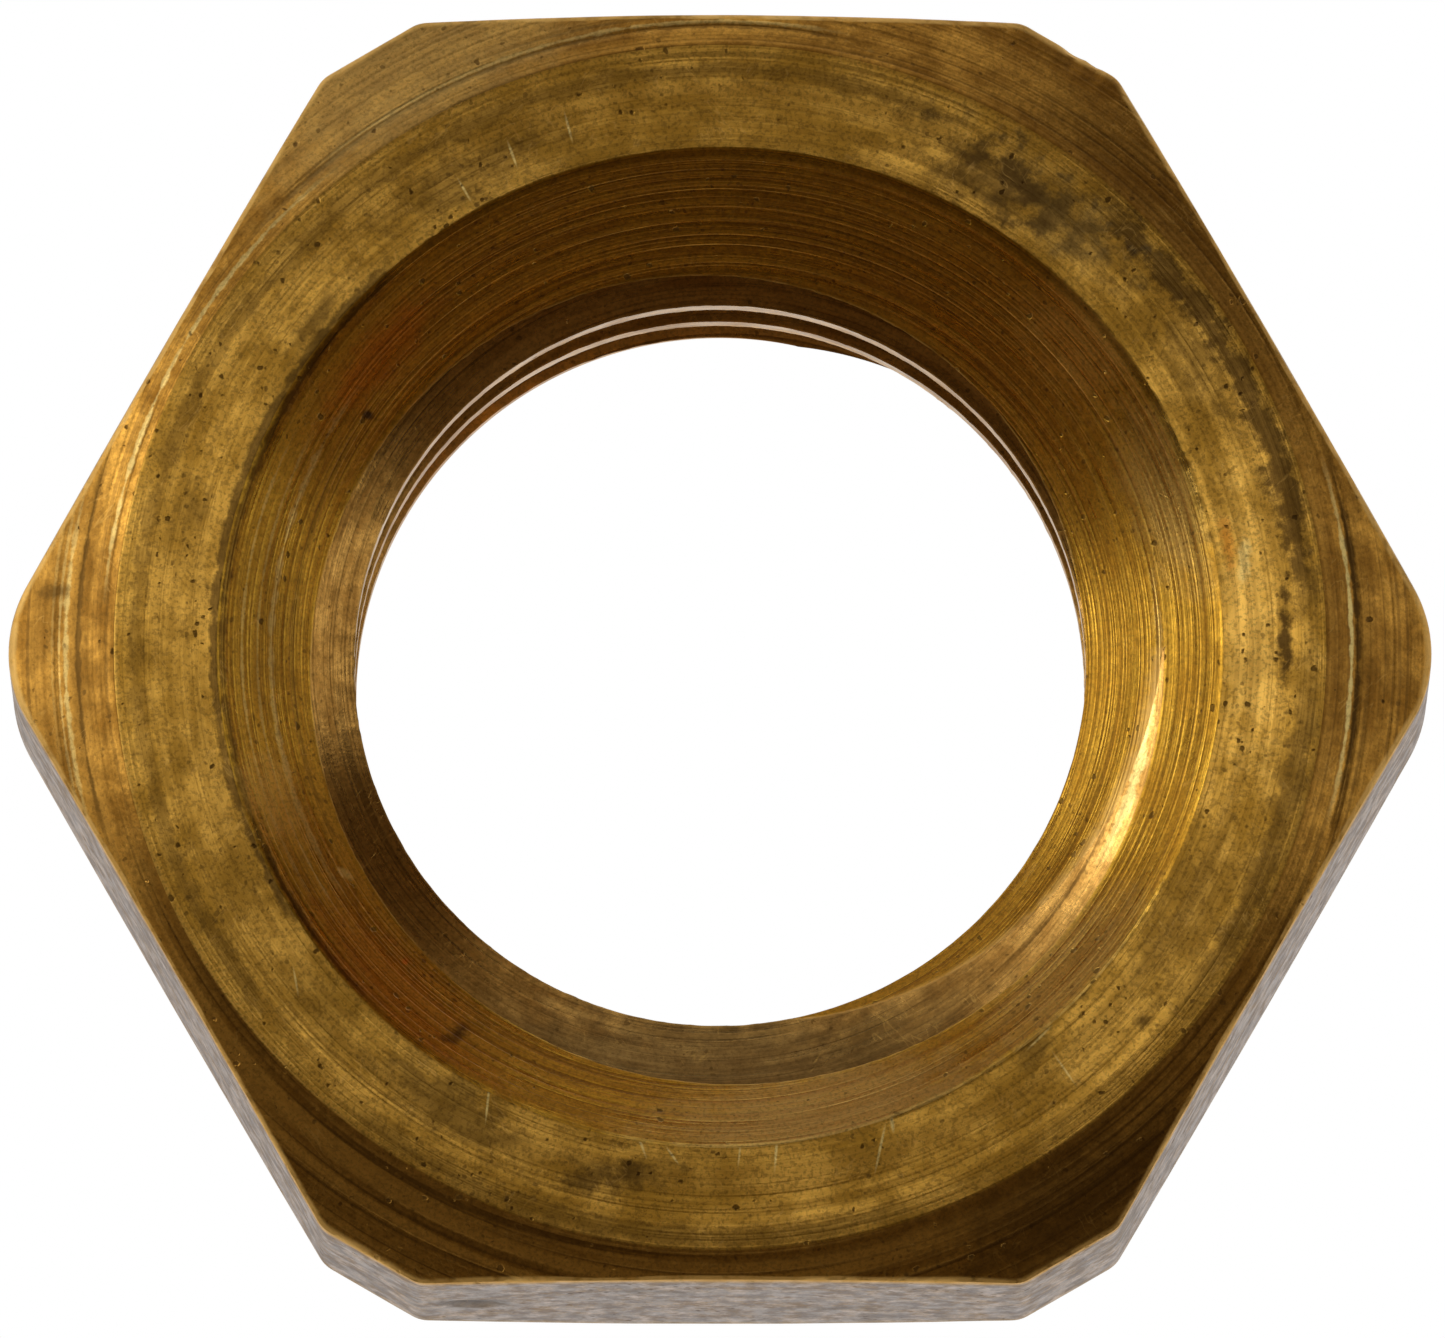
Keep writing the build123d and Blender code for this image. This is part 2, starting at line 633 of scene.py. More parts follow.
    def sink_cone(self, places: np.ndarray, moved: np.ndarray, cone: np.ndarray) -> None:
        """Presses rings into the countersink, square to its slope.

        Args:
            places: The points before any move.
            moved: The points to move.
            cone: Which points those are.
        """
        radius = np.hypot(places[:, 0], places[:, 1])
        rings = self.cone_rings * self.noise.at(self.round_and_out(places) + 40.0, 1.3, 2)
        fade = np.clip((self.hole.countersink_radius - 0.05 - radius) / 0.1, 0.0, 1.0)
        push = (fade * rings)[cone] / math.sqrt(2.0)
        outward = places[cone, :2] / radius[cone, None]
        moved[cone, :2] += outward * push[:, None]
        moved[cone, 2] -= push

    def roughen_thread(self, places: np.ndarray, moved: np.ndarray, thread: np.ndarray) -> None:
        """Roughens the thread, except close to the back face.

        Args:
            places: The points before any move.
            moved: The points to move.
            thread: Which points those are.
        """
        radius = np.hypot(places[:, 0], places[:, 1])
        rough = self.thread_grain * (self.noise.at(places, 5.0, 2) - 0.5)[thread]
        inside = np.clip(places[thread, 2] / 0.1, 0.0, 1.0)
        outward = places[thread, :2] / radius[thread, None]
        moved[thread, :2] += outward * (rough * inside)[:, None]

    def wave_flats(
        self, places: np.ndarray, moved: np.ndarray, flats: np.ndarray, knocks: np.ndarray
    ) -> None:
        """Gives the drawn flats their slight waves and their dents.

        Args:
            places: The points before any move.
            moved: The points to move.
            flats: Which points those are.
            knocks: How deep the dents are at each point.
        """
        radius = np.hypot(places[:, 0], places[:, 1])
        wave = self.flat_waves * self.noise.at(places * (1.0, 1.0, 2.5), 0.8, 3)
        outward = places[flats, :2] / radius[flats, None]
        moved[flats, :2] -= outward * (wave + knocks)[flats][:, None]

    def build(self) -> bpy.types.Object:
        """Makes the nut's mesh and object.

        Returns:
            The object, in the shared frame, with one material place for each region.
        """
        angles = self.bar.column_angles()
        reaches = self.bar.reach(angles)
        around = np.column_stack([np.cos(angles), np.sin(angles), np.zeros(len(angles))]) * 8.0
        wears = self.worn_edge * (0.35 + 1.1 * self.noise.at(around, 1.4, 3))
        points: list[tuple[float, float, float]] = []
        point_regions: list[int] = []
        wear: list[float] = []
        columns = []
        for angle, reach, worn in zip(angles, reaches, wears):
            line = self.hole.line(float(angle))
            hole_wear = self.hole.edge_wear_and_highlight(float(angle))
            outer = self.outer_rows(float(reach), line.radii[-1], float(worn), hole_wear)
            c, s = math.cos(angle), math.sin(angle)
            first = len(points)
            for radius, height, region, at_edge in outer:
                points.append((radius * c, radius * s, height))
                point_regions.append(region.value)
                wear.append(at_edge)
            numbers = []
            edges = {i for (name, _), i in line.marks.items() if name in self.EDGE_MARKS}
            for i in range(len(line.radii) - 1):
                numbers.append(len(points))
                points.append((line.radii[i] * c, line.radii[i] * s, self.thickness - line.depths[i]))
                point_regions.append(line.regions[i].value)
                wear.append(1.0 if i in edges else 0.0)
            numbers.append(first)
            columns.append((first, outer, line, numbers))
        faces: list[tuple[int, ...]] = []
        face_regions: list[int] = []
        for at, (first, outer, line, numbers) in enumerate(columns):
            wraps = at + 1 == len(columns)
            next_first, _, next_line, next_numbers = columns[0 if wraps else at + 1]
            for i in range(len(outer) - 1):
                faces.append((first + i, next_first + i, next_first + i + 1, first + i + 1))
                face_regions.append(outer[i + 1][2].value)
            last = len(outer) - 1
            faces.append((first + last, next_first + last, next_numbers[0], numbers[0]))
            face_regions.append(Region.COUNTERSINK.value)
            made, regions = self.stitch((line, numbers), (next_line, next_numbers), 1 if wraps else 0)
            faces += made
            face_regions += [region.value for region in regions]
        places = self.texture_points(np.array(points), np.array(point_regions))
        mesh = bpy.data.meshes.new("nut")
        mesh.from_pydata((places * MM).tolist(), [], faces)
        mesh.polygons.foreach_set("material_index", face_regions)
        mesh.polygons.foreach_set("use_smooth", [True] * len(faces))
        mesh.set_sharp_from_angle(angle=self.sharp_edge)
        attribute = mesh.attributes.new(EDGE_WEAR_AND_HIGHLIGHT, "FLOAT", "POINT")
        attribute.data.foreach_set("value", wear)
        mesh.update()
        mesh.validate()
        nut = bpy.data.objects.new("nut", mesh)
        bpy.context.scene.collection.objects.link(nut)
        log.info("nut: %d points, %d faces", len(points), len(faces))
        return nut


class Graph:
    """Adds nodes to one node tree. An input is given as a socket to link or as a plain value."""

    def __init__(self, tree: bpy.types.NodeTree) -> None:
        """Keeps the tree.

        Args:
            tree: A material's, a world's or a group's node tree.
        """
        self.tree = tree

    @classmethod
    def fresh(cls, owner: bpy.types.Material | bpy.types.World) -> "Graph":
        """An empty graph for a material or a world."""
        owner.use_nodes = True
        owner.node_tree.nodes.clear()
        return cls(owner.node_tree)

    def finish(self, shader: bpy.types.Node, kind: str = "OutputMaterial") -> None:
        """Sends a shader to the output."""
        out = self.add(kind)
        self.tree.links.new(shader.outputs[0], out.inputs["Surface"])

    def add(self, kind: str, inputs: dict | None = None, **settings: object) -> bpy.types.Node:
        """Adds a node.

        Args:
            kind: The node's type name, without the ShaderNode in front.
            inputs: Sockets or values by input name or number.
            settings: The node's own properties.

        Returns:
            The node.
        """
        node = self.tree.nodes.new("ShaderNode" + kind)
        for name, value in settings.items():
            setattr(node, name, value)
        for name, value in (inputs or {}).items():
            self.set_input(node, name, value)
        return node

    def set_input(self, node: bpy.types.Node, name: str | int, value: object) -> None:
        """Links a socket to an input, or sets the input's value."""
        if isinstance(value, bpy.types.NodeSocket):
            self.tree.links.new(value, node.inputs[name])
        else:
            node.inputs[name].default_value = value

    def math(self, operation: str, *values: object, clamp: bool = False) -> bpy.types.NodeSocket:
        """The result of a sum on one, two or three values."""
        node = self.add("Math", dict(enumerate(values)), operation=operation, use_clamp=clamp)
        return node.outputs[0]

    def vector(self, operation: str, *values: object) -> bpy.types.NodeSocket:
        """The result of a sum on vectors. LENGTH gives a number."""
        node = self.add("VectorMath", dict(enumerate(values)), operation=operation)
        return node.outputs["Value" if operation == "LENGTH" else "Vector"]

    def noise(self, vector: object, scale: float, detail: float, rough: float = 0.5) -> bpy.types.NodeSocket:
        """Noise from about 0.2 to 0.8, as a number."""
        inputs = {"Vector": vector, "Scale": scale, "Detail": detail, "Roughness": rough}
        return self.add("TexNoise", inputs).outputs["Fac"]

    def between(
        self, value: object, low: float, high: float, out_low: object = 0.0, out_high: object = 1.0
    ) -> bpy.types.NodeSocket:
        """The value taken from one range to another, with soft ends."""
        inputs = {0: value, 1: low, 2: high, 3: out_low, 4: out_high}
        return self.add("MapRange", inputs, interpolation_type="SMOOTHSTEP").outputs[0]

    def mix(self, factor: object, first: object, second: object) -> bpy.types.NodeSocket:
        """Two colours mixed, each a socket or its red, green and blue."""
        ends = [(*colour, 1.0) if isinstance(colour, tuple) else colour for colour in (first, second)]
        return self.add("Mix", {0: factor, 6: ends[0], 7: ends[1]}, data_type="RGBA").outputs[2]

    def group(self, tree: bpy.types.NodeTree, **inputs: object) -> bpy.types.Node:
        """Places a group, with its inputs by name."""
        node = self.add("Group")
        node.node_tree = tree
        for name, value in inputs.items():
            self.set_input(node, name.replace("_", " "), value)
        return node


class Effect:
    """A node group being made: named inputs, a graph to fill, and named outputs."""

    SOCKETS = {"float": "NodeSocketFloat", "vector": "NodeSocketVector", "colour": "NodeSocketColor"}

    def __init__(self, name: str) -> None:
        """Starts the group.

        Args:
            name: The group's name.
        """
        self.tree = bpy.data.node_groups.new(name, "ShaderNodeTree")
        self.graph = Graph(self.tree)
        self.entry = self.tree.nodes.new("NodeGroupInput")
        self.exit = self.tree.nodes.new("NodeGroupOutput")

    def take(self, name: str, value: object = 0.0, kind: str = "float") -> bpy.types.NodeSocket:
        """Adds an input and returns the socket that carries it inside."""
        socket = self.tree.interface.new_socket(name, in_out="INPUT", socket_type=self.SOCKETS[kind])
        socket.default_value = value
        return self.entry.outputs[name]

    def take_vector(self, name: str) -> bpy.types.NodeSocket:
        """Adds a vector input, all zero unless it is linked or set."""
        return self.take(name, (0.0, 0.0, 0.0), "vector")

    def give(self, name: str, source: bpy.types.NodeSocket, kind: str = "float") -> None:
        """Adds an output fed by a socket."""
        self.tree.interface.new_socket(name, in_out="OUTPUT", socket_type=self.SOCKETS[kind])
        self.tree.links.new(source, self.exit.inputs[name])


class SurfaceEffects:
    """The effects that the nut's finishes share, each one node group."""

    def __init__(self) -> None:
        """Builds every group once."""
        self.lathe = self.lathe_coordinates()
        self.rings = self.turning_rings()
        self.tarnish = self.tarnish_patches()
        self.specks = self.dark_specks()
        self.hairlines = self.hairline_scratches()
        self.line = self.ring_line()
        self.spot = self.stain_and_light_patch()

    @staticmethod
    def lathe_coordinates() -> bpy.types.NodeTree:
        """Where a place is on the turned nut: millimetres, distance from the axis, and a vector round it."""
        effect = Effect("lathe coordinates")
        g = effect.graph
        spot = g.vector("SCALE", g.add("TexCoord").outputs["Object"])
        spot.node.inputs["Scale"].default_value = 1.0 / MM
        flat = g.vector("MULTIPLY", spot, (1.0, 1.0, 0.0))
        radius = g.vector("LENGTH", flat)
        around = g.vector("NORMALIZE", flat)
        height = g.add("SeparateXYZ", {0: spot}).outputs["Z"]
        across = g.math("MULTIPLY_ADD", height, 0.37, radius)
        unrolled = g.vector("ADD", around, g.add("CombineXYZ", {"Z": across}).outputs[0])
        effect.give("Millimetres", spot, "vector")
        effect.give("Radius", radius)
        effect.give("Unrolled", unrolled, "vector")
        return effect.tree

    @staticmethod
    def turning_rings() -> bpy.types.NodeTree:
        """Fine rings that a turning tool leaves, which fade in and out round the nut."""
        effect = Effect("turning rings")
        g = effect.graph
        unrolled = effect.take_vector("Unrolled")
        drift = effect.take("Drift", 1.0)
        fineness = effect.take("Fineness", 9.0)
        scale = g.add("CombineXYZ", {0: drift, 1: drift, 2: fineness}).outputs[0]
        stretched = g.vector("MULTIPLY", unrolled, scale)
        broad = g.noise(stretched, 1.0, 1.0, 0.5)
        fine = g.noise(g.vector("MULTIPLY", stretched, (2.0, 2.0, 2.7)), 1.0, 1.0, 0.6)
        both = g.math("ADD", g.math("MULTIPLY", broad, 0.55), g.math("MULTIPLY", fine, 0.45))
        effect.give("Height", g.between(both, 0.36, 0.64))
        effect.give("Dark Lines", g.between(fine, 0.44, 0.33))
        effect.give("Bright Lines", g.between(broad, 0.55, 0.66))
        return effect.tree

    @staticmethod
    def tarnish_patches() -> bpy.types.NodeTree:
        """Uneven browning, partly in patches and partly drawn out round the nut."""
        effect = Effect("tarnish patches")
        g = effect.graph
        spot = effect.take_vector("Millimetres")
        unrolled = effect.take_vector("Unrolled")
        size = effect.take("Per Millimetre", 1.2)
        drawn = effect.take("Drawn Out", 0.5)
        scale = g.add("CombineXYZ", {0: size, 1: size, 2: size}).outputs[0]
        patches = g.noise(g.vector("MULTIPLY", spot, scale), 1.0, 6.0, 0.62)
        streaks = g.noise(g.vector("MULTIPLY", unrolled, (5.0, 5.0, 6.0)), 1.0, 5.0, 0.6)
        kept = g.math("SUBTRACT", 1.0, drawn)
        both = g.math("ADD", g.math("MULTIPLY", patches, kept), g.math("MULTIPLY", streaks, drawn))
        effect.give("Mask", g.between(both, 0.38, 0.62))
        effect.give("Mottle", g.between(g.noise(spot, 8.0, 5.0, 0.75), 0.32, 0.68))
        return effect.tree

    @staticmethod
    def dark_specks() -> bpy.types.NodeTree:
        """Small dark pits and specks, thick in some places and absent in others."""
        effect = Effect("dark specks")
        g = effect.graph
        spot = effect.take_vector("Millimetres")
        count = effect.take("Per Millimetre", 7.0)
        share = effect.take("Share", 0.1)
        wobble = g.add("TexNoise", {"Vector": spot, "Scale": 9.0, "Detail": 2.0}).outputs["Color"]
        shifted = g.vector("ADD", spot, g.vector("MULTIPLY", wobble, (0.09, 0.09, 0.09)))
        cells = g.add("TexVoronoi", {"Vector": shifted, "Scale": count})
        chance = g.add("SeparateColor", {0: cells.outputs["Color"]})
        clump = g.between(g.noise(spot, 0.8, 4.0, 0.6), 0.42, 0.66, 0.05, 2.2)
        chosen = g.math("LESS_THAN", chance.outputs[0], g.math("MULTIPLY", share, clump))
        size = g.math("MULTIPLY_ADD", g.math("POWER", chance.outputs[1], 3.0), 0.34, 0.05)
        near = g.math("SUBTRACT", size, cells.outputs["Distance"])
        dot = g.math("MULTIPLY", near, 9.0, clamp=True)
        effect.give("Mask", g.math("MULTIPLY", dot, chosen))
        return effect.tree

    @staticmethod
    def hairline_scratches() -> bpy.types.NodeTree:
        """Short hairline scratches in every direction."""
        effect = Effect("hairline scratches")
        g = effect.graph
        spot = effect.take_vector("Millimetres")
        share = effect.take("Share", 0.5)
        masks = []
        for turn, offset in ((0.9, 3.0), (2.3, 11.0)):
            turned = g.add("VectorRotate", {"Vector": spot, "Angle": turn}, rotation_type="Z_AXIS")
            drawn = g.vector("MULTIPLY", turned.outputs[0], (1.6, 7.0, 3.0))
            drawn = g.vector("ADD", drawn, (offset, offset, offset))
            value = g.noise(drawn, 1.0, 1.5, 0.5)
            line = g.math("ABSOLUTE", g.math("SUBTRACT", value, 0.5))
            line = g.between(line, 0.0, 0.02, 1.0, 0.0)
            gate = g.noise(g.vector("ADD", spot, (offset, 0.0, offset)), 1.6, 2.0)
            gate = g.between(gate, 0.59, 0.63)
            masks.append(g.math("MULTIPLY", line, gate))
        worst = g.math("MAXIMUM", masks[0], masks[1])
        effect.give("Mask", g.math("MULTIPLY", worst, share))
        return effect.tree

    @staticmethod
    def ring_line() -> bpy.types.NodeTree:
        """A ragged line round the nut at one distance from the axis."""
        effect = Effect("ring line")
        g = effect.graph
        spot = effect.take_vector("Millimetres")
        radius = effect.take("Radius", 0.0)
        at = effect.take("At", 6.285)
        width = effect.take("Width", 0.04)
        towards = effect.take("Towards", (1.0, 0.0, 0.0), "vector")
        spread = effect.take("Spread", -2.0)
        ragged = g.math("MULTIPLY", g.math("SUBTRACT", g.noise(spot, 3.2, 5.0, 0.7), 0.5), 4.0)
        off = g.math("DIVIDE", g.math("ABSOLUTE", g.math("SUBTRACT", radius, at)), width)
        line = g.between(g.math("ADD", off, ragged), 0.3, 1.2, 1.0, 0.0)
        around = g.vector("NORMALIZE", g.vector("MULTIPLY", spot, (1.0, 1.0, 0.0)))
        faced = g.add("VectorMath", {0: around, 1: towards}, operation="DOT_PRODUCT").outputs["Value"]
        inside = g.math("MULTIPLY", g.math("SUBTRACT", faced, spread), 25.0, clamp=True)
        effect.give("Mask", g.math("MULTIPLY", line, inside))
        return effect.tree

    @staticmethod
    def stain_and_light_patch() -> bpy.types.NodeTree:
        """One soft, ragged patch at a place, for a stain or for painted highlight, sheen or shade, drawn out
        as far as each of its sizes says.
        """
        effect = Effect("stain and light patch")
        g = effect.graph
        spot = effect.take_vector("Millimetres")
        centre = effect.take_vector("Centre")
        size = effect.take("Size", (1.0, 1.0, 1.0), "vector")
        turn = effect.take("Turn", 0.0)
        raggedness = effect.take("Ragged", 2.6)
        offset = g.vector("SUBTRACT", spot, centre)
        turned = g.add("VectorRotate", {"Vector": offset, "Angle": turn}, rotation_type="Z_AXIS")
        away = g.vector("LENGTH", g.vector("DIVIDE", turned.outputs[0], size))
        ragged = g.math("MULTIPLY", g.math("SUBTRACT", g.noise(spot, 3.5, 5.0, 0.65), 0.5), raggedness)
        effect.give("Mask", g.between(g.math("ADD", away, ragged), 0.25, 1.1, 1.0, 0.0))
        return effect.tree


Colour = tuple[float, float, float]


class Tint(Enum):
    """The colours that marks on the metal have. The glint, gold and pale colours also paint highlights and
    sheen, and the dark colour also paints shade in some bands and patches.
    """

    DARK = (0.1, 0.05, 0.012)
    COLD = (0.08, 0.058, 0.028)
    # Colour of painted sheen.
    PALE = (0.79, 0.53, 0.17)
    # Colour of painted highlights.
    GOLD = (0.98, 0.58, 0.12)
    # Colour of painted highlights and of bright scratches.
    GLINT = (1.0, 0.78, 0.28)
    ORANGE = (0.85, 0.27, 0.02)


@dataclass(frozen=True)
class StainAndPaintedLight:
    """A stain or a scratch on the metal, or a patch of painted highlight, sheen or shade. Millimetres, and
    degrees that its long side is turned by.
    """

    centre: tuple[float, float, float]
    size: tuple[float, float, float]
    turned: float = 0.0
    strength: float = 0.7
    tint: Tint = Tint.DARK
    ragged: float = 2.6
    # How much the patch takes away the metal's shine, for the painted shadow in a dent.
    pit_shade: float = 0.0


def bearing_stain_and_light(x: float, y: float, wide: float, deep: float, *rest: object) -> StainAndPaintedLight:
    """A stain, a scratch or a patch of painted highlight on the bearing face, from its place and its size
    across X and Y.
    """
    return StainAndPaintedLight((x, y, 6.35), (wide, deep, 1.0), *rest)


def scratch(x: float, y: float, width: float, length: float, turned: float, strength: float) -> StainAndPaintedLight:
    """A bright hairline scratch on the bearing face."""
    return bearing_stain_and_light(x, y, width, length, turned, strength, Tint.GLINT, 0.3)


@dataclass(frozen=True)
class Band:
    """A ring or part of one, in millimetres from the axis and degrees: where its middle is, and its half.
    Many bands are painted highlights or painted shade along turned rings and edges.
    """

    at: float
    width: float
    strength: float = 0.6
    tint: Tint = Tint.DARK
    towards: float = 0.0
    half: float = 180.0


@dataclass(frozen=True)
class FilmAndSheen:
    """A dry layer of oxide and handling, with a painted sheen: the colour pales where the surface is seen at
    a low angle, standing in for the white table reflected there.
    """

    # Colours that the surface pales to at low angles, as painted sheen.
    light: Colour = (0.62, 0.49, 0.41)
    dark: Colour = (0.27, 0.2, 0.165)
    dirt: Colour = (0.24, 0.21, 0.2)
    dirt_amount: float = 0.6
    mottle_gain: float = 3.2
    starts: float = 0.72
    full: float = 0.88


@dataclass(frozen=True)
class Masks:
    """What the effects over a whole surface put out, in one material."""

    spot: bpy.types.NodeSocket
    grained: bpy.types.NodeSocket
    rings: bpy.types.Node
    browning: bpy.types.Node
    specks: bpy.types.NodeSocket
    grit: bpy.types.NodeSocket
    scratches: bpy.types.NodeSocket


@dataclass(frozen=True)
class BrassFinish:
    """Bare brass as one operation left it, browned with handling, with painted highlights and painted shade
    in some of its bands and patches.
    """

    name: str
    bright: Colour
    brown: Colour
    roughness: float = 0.33
    anisotropic: float = 0.7
    ring_drift: float = 0.6
    ring_fineness: float = 9.0
    ring_depth: float = 0.35
    tarnish_scale: float = 1.2
    drawn_out: float = 0.5
    speck_scale: float = 7.0
    speck_share: float = 0.08
    grain: float = 0.3
    grit_scale: float = 10.0
    grit_share: float = 0.7
    scratch_share: float = 0.22
    # Colour of bare rubbed metal and scratches, and also of the painted highlight along the edges.
    bare_metal_and_highlight_colour: Colour = (1.0, 0.6, 0.15)
    rubbed_and_lit_amount: float = 0.75
    film_and_sheen: FilmAndSheen | None = None
    mottle: float = 0.5
    along_bar: float = 1.0
    ring_contrast: float = 0.4
    bands: tuple[Band, ...] = ()
    stains_and_painted_light: tuple[StainAndPaintedLight, ...] = ()

    MOTTLE_DARK = 0.45
    BRIGHT_LINES = 0.8
    BRIGHT_LINE_GAIN = 1.15
    SPECK_STRENGTH = 0.65
    GRIT_STRENGTH = 0.55
    SCRATCH_STRENGTH = 0.8
    WEAR_POWER = 1.5
    WEAR_DULLS = 0.6
    SMOOTHER = 0.04
    ROUGH_TARNISH = 0.12
    ROUGH_RINGS = 0.1
    ROUGH_SPECKS = 0.25
    ROUGH_WEAR = 0.1
    GRAIN_HEIGHT = 0.15
    SPECK_HEIGHT = -0.6
    SCRATCH_HEIGHT = -0.25
    BUMP_MM = 0.012
    ALL_ROUND = -2.0

    @staticmethod
    def covered_by(
        mark: StainAndPaintedLight | Band, g: Graph, effects: SurfaceEffects, lathe: bpy.types.Node
    ) -> bpy.types.NodeSocket:
        """How much of the metal one mark covers.

        Args:
            mark: The stain, scratch, ring, or painted highlight or shade.
            g: The material's graph.
            effects: The shared node groups.
            lathe: The node that gives places on the nut.

        Returns:
            The mask, as strong as the mark is.
        """
        spot = lathe.outputs["Millimetres"]
        if isinstance(mark, StainAndPaintedLight):
            turn = math.radians(-mark.turned)
            made = g.group(
                effects.spot,
                Millimetres=spot,
                Centre=mark.centre,
                Size=mark.size,
                Turn=turn,
                Ragged=mark.ragged,
            )
        else:
            towards = math.radians(mark.towards)
            part = mark.half < 180.0
            made = g.group(
                effects.line,
                Millimetres=spot,
                Radius=lathe.outputs["Radius"],
                At=mark.at,
                Width=mark.width,
                Towards=(math.cos(towards), math.sin(towards), 0.0),
                Spread=math.cos(math.radians(mark.half)) if part else BrassFinish.ALL_ROUND,
            )
        return g.math("MULTIPLY", made.outputs["Mask"], mark.strength)

    def masks(self, g: Graph, effects: SurfaceEffects, lathe: bpy.types.Node) -> Masks:
        """Places the effects that cover the whole surface.

        Args:
            g: The material's graph.
            effects: The shared node groups.
            lathe: The node that gives places on the nut.

        Returns:
            What they put out.
        """
        spot, unrolled = lathe.outputs["Millimetres"], lathe.outputs["Unrolled"]
        rings = g.group(
            effects.rings, Unrolled=unrolled, Drift=self.ring_drift, Fineness=self.ring_fineness
        )
        grained = g.vector("MULTIPLY", spot, (1.0, 1.0, self.along_bar))
        browning = g.group(
            effects.tarnish,
            Millimetres=grained,
            Unrolled=unrolled,
            Per_Millimetre=self.tarnish_scale,
            Drawn_Out=self.drawn_out,
        )
        specks, grit = (
            g.group(effects.specks, Millimetres=spot, Per_Millimetre=scale, Share=share).outputs["Mask"]
            for scale, share in (
                (self.speck_scale, self.speck_share),
                (self.grit_scale, self.grit_share),
            )
        )
        scratches = g.group(effects.hairlines, Millimetres=spot, Share=self.scratch_share).outputs["Mask"]
        return Masks(spot, grained, rings, browning, specks, grit, scratches)

    def metal(self, g: Graph, masks: Masks) -> bpy.types.NodeSocket:
        """The colour of the metal with its browning, its turning rings, and its oxide layer, which pales at
        low angles as painted sheen.

        Args:
            g: The material's graph.
            masks: The effects over the whole surface.

        Returns:
            The colour.
        """
        bright, brown = self.bright, self.brown
        dull = g.math("MULTIPLY", masks.browning.outputs["Mottle"], self.mottle)
        if self.film_and_sheen:
            # Painted sheen: the colour pales where the surface is seen at a low angle.
            facing = g.add("LayerWeight", {"Blend": 0.5}).outputs["Facing"]
            grazing_sheen = g.between(facing, self.film_and_sheen.starts, self.film_and_sheen.full)
            bright = g.mix(grazing_sheen, bright, self.film_and_sheen.light)
            brown = g.mix(grazing_sheen, brown, self.film_and_sheen.dark)
            dull = g.math("MULTIPLY", dull, g.between(grazing_sheen, 0.0, 1.0, 1.0, self.film_and_sheen.mottle_gain))
        colour = g.mix(masks.browning.outputs["Mask"], bright, brown)
        colour = g.mix(dull, colour, tuple(self.MOTTLE_DARK * c for c in self.brown))
        lines = g.math("MULTIPLY", masks.rings.outputs["Dark Lines"], self.ring_contrast)
        colour = g.mix(lines, colour, Tint.DARK.value)
        share = self.BRIGHT_LINES * self.ring_contrast
        lines = g.math("MULTIPLY", masks.rings.outputs["Bright Lines"], share)
        colour = g.mix(lines, colour, tuple(min(1.0, self.BRIGHT_LINE_GAIN * c) for c in self.bright))
        if self.film_and_sheen:
            patches = g.noise(masks.grained, 3.6, 7.0, 0.75)
            dirt = g.between(patches, 0.42, 0.58, 0.0, self.film_and_sheen.dirt_amount)
            colour = g.mix(g.math("MULTIPLY", dirt, grazing_sheen), colour, self.film_and_sheen.dirt)
        return colour

    def worn(self, g: Graph, spot: bpy.types.NodeSocket) -> bpy.types.NodeSocket:
        """How bare the edges have been rubbed, unevenly; the same mask paints a bright highlight along them.
        """
        edge = g.add("Attribute", attribute_name=EDGE_WEAR_AND_HIGHLIGHT).outputs["Fac"]
        edge = g.math("POWER", edge, self.WEAR_POWER)
        edge = g.math("MULTIPLY", edge, g.between(g.noise(spot, 4.0, 4.0, 0.6), 0.34, 0.56, 0.3, 1.0))
        return g.math("MULTIPLY", edge, self.rubbed_and_lit_amount)

    def build(self, effects: SurfaceEffects) -> bpy.types.Material:
        """Makes the material.

        Args:
            effects: The shared node groups.

        Returns:
            The material.
        """
        material = bpy.data.materials.new(self.name)
        g = Graph.fresh(material)
        lathe = g.group(effects.lathe)
        masks = self.masks(g, effects, lathe)
        colour = self.metal(g, masks)
        # How far the painted shadow in a dent takes away the metal's shine.
        pit_shade: float | bpy.types.NodeSocket = 0.0
        # Each band and patch: a stain, or a painted highlight, sheen or shade, mixed into the colour in its
        # tint.
        for mark in self.bands + self.stains_and_painted_light:
            covered = self.covered_by(mark, g, effects, lathe)
            colour = g.mix(covered, colour, mark.tint.value)
            if isinstance(mark, StainAndPaintedLight) and mark.pit_shade:
                pit_shade = g.math("MULTIPLY_ADD", covered, mark.pit_shade, pit_shade)
        colour = g.mix(g.math("MULTIPLY", masks.specks, self.SPECK_STRENGTH), colour, Tint.DARK.value)
        colour = g.mix(g.math("MULTIPLY", masks.grit, self.GRIT_STRENGTH), colour, Tint.DARK.value)
        grain = g.noise(masks.spot, 22.0, 3.0, 0.6)
        colour = g.mix(g.between(grain, 0.36, 0.54, self.grain, 0.0), colour, Tint.DARK.value)
        colour = g.mix(g.math("MULTIPLY", masks.scratches, self.SCRATCH_STRENGTH), colour, self.bare_metal_and_highlight_colour)
